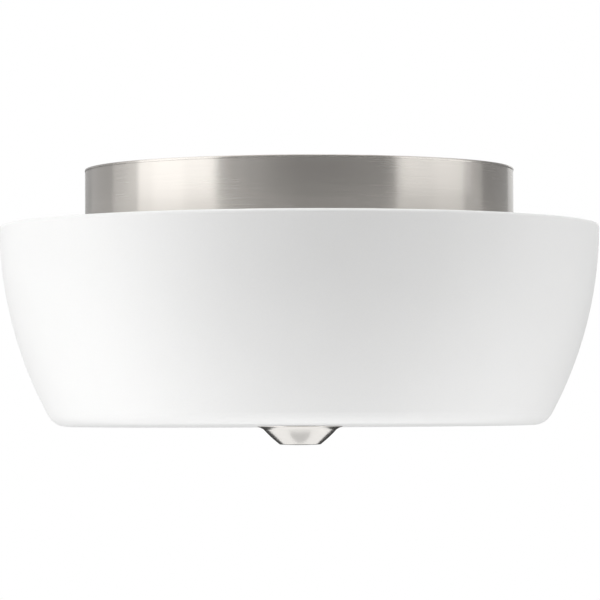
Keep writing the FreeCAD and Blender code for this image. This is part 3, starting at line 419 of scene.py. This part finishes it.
piece("wire_nuts_ribbed", joined(wire_nut(0), wire_nut(180)), made["orange_plastic"],
      "pan", ["wire_nuts"])
piece("ground_wire_nut_ribbed", wire_nut(45), made["green_plastic"],
      "pan", ["ground_wire_nut"])


# The fibreglass pad

def blanket(voxel=1.5, lumps=(22, 1.6), tufts=(4, 0.9)):
    """The pad as a soft felted mat. Lumps and tufts, each of a size and a depth, draw its surface in."""
    solid = frame["nodes"]["insulation_pad"]
    soft = bpy.data.objects.new("insulation_blanket", solid.data.copy())
    bpy.context.scene.collection.objects.link(soft)
    remesh = soft.modifiers.new("felt", "REMESH")
    remesh.mode, remesh.voxel_size = "VOXEL", voxel * MM
    for name, (wide, deep) in (("lumps", lumps), ("tufts", tufts)):
        clouds = bpy.data.textures.new(name, "CLOUDS")
        clouds.noise_scale, clouds.noise_depth = wide * MM, 3
        drawn_in = soft.modifiers.new(name, "DISPLACE")
        drawn_in.texture, drawn_in.texture_coords = clouds, "LOCAL"
        drawn_in.mid_level, drawn_in.strength = 1.0, deep * MM
    bpy.context.view_layer.update()
    felted = bpy.data.meshes.new_from_object(soft.evaluated_get(bpy.context.evaluated_depsgraph_get()))
    soft.modifiers.clear()
    soft.data = felted
    felted.shade_smooth()
    felted.materials.clear()
    felted.materials.append(made["fibreglass"])
    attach(soft, "pan")
    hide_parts("insulation_pad")


blanket()


# The studio: a white room with soft lights, and grey cards that the metal mirrors

def card(name, shape, tone):
    """A card from a shape in metres, which glows evenly. The camera doesn't see it, but metal mirrors it."""
    material = bpy.data.materials.new(name)
    material.use_nodes = True
    surface = material.node_tree.nodes["Principled BSDF"]
    for key, value in (("Base Color", (0, 0, 0, 1)), ("Emission Color", (tone, tone, tone, 1)),
                       ("Emission Strength", 1.0), ("Roughness", 1.0), ("Specular IOR Level", 0.0)):
        surface.inputs[key].default_value = value
    mesh = bpy.data.meshes.new(name)
    mesh.from_pydata(shape[0], [], shape[1])
    made_card = bpy.data.objects.new(name, mesh)
    bpy.context.scene.collection.objects.link(made_card)
    mesh.materials.append(material)
    made_card.visible_camera = False
    return made_card


def upright(first, last, low, high, distance, steps=24):
    """A curved card's shape round the light, from one angle to another (degrees to the camera's right)."""
    vertices = []
    for step in range(steps + 1):
        angle = math.radians(first + (last - first) * step / steps)
        x, y = distance * math.sin(angle), -distance * math.cos(angle)
        vertices += [(x, y, low), (x, y, high)]
    return vertices, [[2 * step, 2 * step + 2, 2 * step + 3, 2 * step + 1] for step in range(steps)]


def level_oval(half_wide, half_deep, y, z, steps=48):
    """A level oval card's shape."""
    angles = [TURN * step / steps for step in range(steps)]
    vertices = [(half_wide * math.cos(a), y + half_deep * math.sin(a), z) for a in angles]
    return vertices, [list(range(steps))]


CARDS_OUT, METAL_CARDS_OUT, CARD_FOOT, CARD_TOP, METAL_CARD_TOP = 2.5, 2.4, -0.35, 2.5, 2.4
# each card's name, first and last angle, lower and upper end, and tone
CARDS = [
    ("front_left", -44, -32, CARD_FOOT, CARD_TOP, 0.60),
    ("front_middle_left", -32, -16, CARD_FOOT, CARD_TOP, 0.40),
    ("front", -16, 52, CARD_FOOT, CARD_TOP, 0.222),
    ("right", 54, 76, CARD_FOOT, CARD_TOP, 1.05),
    ("right_middle", 76, 97, CARD_FOOT, CARD_TOP, 1.15),
    ("right_side", 97, 113, CARD_FOOT, CARD_TOP, 0.70),
    ("right_rear", 113, 149, CARD_FOOT, CARD_TOP, 0.36),
    ("behind_softbox", -92, -44, CARD_FOOT, CARD_TOP, 0.60),
    ("left_side", -116, -106, CARD_FOOT, CARD_TOP, 0.92),
    ("left_rear", -168, -116, CARD_FOOT, CARD_TOP, 0.57),
    ("low_right", 146, 168, -1.9, -0.6, 0.05),
    ("low_left", -168, -146, -1.9, -0.6, 0.05),
    ("low_back", 146, 214, -0.6, 0.05, 0.05),
    ("low_middle", 168, 192, -1.6, -0.6, 0.05),
    ("low_side_right", 104, 146, -0.8, CARD_FOOT, 0.12),
    ("low_side_left", -146, -104, -0.8, CARD_FOOT, 0.12),
]
# those that only mirrors see, so that they don't light or shade the bowl
METAL_CARDS = [
    ("front_foot", -16, 52, -1.2, CARD_FOOT, 0.05),
    ("front_foot_left", -44, -16, -1.2, CARD_FOOT, 0.25),
    ("highlight", -83, -63, -0.3, METAL_CARD_TOP, 0.80),
]
# the first angles and the tones of a fan of them, which the pan's front mirrors, and the angle where it ends
FAN = [(-44, 0.66), (-36, 0.60), (-28, 0.50), (-20, 0.43), (-12, 0.37), (-4, 0.315), (26, 0.345),
       (36, 0.385), (46, 0.45)]
FAN_END = 52
for count, (first, tone) in enumerate(FAN):
    last = FAN[count + 1][0] if count + 1 < len(FAN) else FAN_END
    METAL_CARDS.append((f"fan_{count}", first, last, CARD_FOOT, METAL_CARD_TOP, tone))
for name, first, last, low, high, tone in CARDS:
    card(f"card_{name}", upright(first, last, low, high, CARDS_OUT), tone)
for name, first, last, low, high, tone in METAL_CARDS:
    card(f"card_{name}", upright(first, last, low, high, METAL_CARDS_OUT), tone).visible_diffuse = False
card("card_under", level_oval(0.5, 0.22, 0.12, -1.65), 0.61)

FLOOR_OUT, FLOOR_LEVEL = 16.0, -5.0
floor_mesh = bpy.data.meshes.new("studio_floor")
ring, sides = level_oval(FLOOR_OUT, FLOOR_OUT, 0, FLOOR_LEVEL, 64)
floor_mesh.from_pydata(ring, [], sides)
floor = bpy.data.objects.new("studio_floor", floor_mesh)
bpy.context.scene.collection.objects.link(floor)


def seen(tree):
    """1 for rays from the camera, a mirror or through glass, and 0 for the light that falls on things."""
    path = add(tree, "ShaderNodeLightPath")
    both = calc(tree, "MAXIMUM", path.outputs["Is Camera Ray"], path.outputs["Is Glossy Ray"])
    return calc(tree, "MAXIMUM", both, path.outputs["Is Transmission Ray"])


# how much the floor glows and how bright the room is: in the light that falls on things, and as seen
FLOOR_GLOW, ROOM_LIGHT = (0.15, 0.98), (0.6, 1.0)
floor_material = bpy.data.materials.new("pale_floor")
floor_material.use_nodes = True
tree = floor_material.node_tree
tree.nodes.remove(tree.nodes["Principled BSDF"])
paper = add(tree, "ShaderNodeBsdfDiffuse", {"Color": (0.8, 0.8, 0.8, 1)})
glow = add(tree, "ShaderNodeEmission", {"Color": (1, 1, 1, 1), "Strength": 1.0})
share = spread(tree, seen(tree), *FLOOR_GLOW)
mixed = add(tree, "ShaderNodeMixShader", {0: share, 1: paper.outputs[0], 2: glow.outputs[0]})
tree.links.new(mixed.outputs[0], tree.nodes["Material Output"].inputs["Surface"])
floor_mesh.materials.append(floor_material)

world = bpy.data.worlds.new("studio")
bpy.context.scene.world = world
world.use_nodes = True
tree = world.node_tree
background = tree.nodes["Background"]
tree.links.new(spread(tree, seen(tree), *ROOM_LIGHT), background.inputs["Strength"])
background.inputs["Color"].default_value = (1, 1, 1, 1)


BOWL_MIDDLE = Vector((0, 0, -70 * MM))


def softbox(name, angle, height, wide, high, strength, distance=1.7):
    """A rectangular area light aimed at the bowl, which sees it at an angle to the camera's right and a
    height, both in degrees."""
    lamp = bpy.data.lights.new(name, "AREA")
    lamp.shape, lamp.size, lamp.size_y = "RECTANGLE", wide, high
    lamp.energy = strength * math.pi * wide * high
    holder = bpy.data.objects.new(name, lamp)
    bpy.context.scene.collection.objects.link(holder)
    turn, lift = math.radians(angle), math.radians(height)
    towards = Vector((math.sin(turn) * math.cos(lift), -math.cos(turn) * math.cos(lift), math.sin(lift)))
    holder.location = BOWL_MIDDLE + towards * distance
    holder.rotation_euler = (-towards).to_track_quat("-Z", "Y").to_euler()
    return holder


softbox("softbox_left", -68, 18, 1.6, 1.7, 0.96)
softbox("softbox_low_left", -70, -32, 1.6, 1.5, 1.42)
softbox("softbox_low_right", 80, -32, 1.6, 1.5, 1.35)
softbox("softbox_under", -25, -66, 1.5, 1.2, 0.70).visible_glossy = False
softbox("softbox_top", 0, 89, 1.5, 1.5, 2.0)

# The camera stands a little below the light and looks slightly up

CAMERA_FAR, CAMERA_LEVEL, CAMERA_SIDE = 2.145, -0.149, 0.0002
PITCH, ROLL, LENS = 2.153, 0.24, 245.5
camera = bpy.data.objects.new("camera", bpy.data.cameras.new("camera"))
bpy.context.scene.collection.objects.link(camera)
camera.data.sensor_width, camera.data.lens = 36, LENS
camera.data.clip_start, camera.data.clip_end = 0.05, 100
camera.location = (CAMERA_SIDE, -CAMERA_FAR, CAMERA_LEVEL)
camera.rotation_euler = (
    Matrix.Rotation(math.radians(90 + PITCH), 3, "X") @ Matrix.Rotation(math.radians(-ROLL), 3, "Z")
).to_euler()
bpy.context.scene.camera = camera
bpy.context.scene.view_settings.view_transform = "Standard"
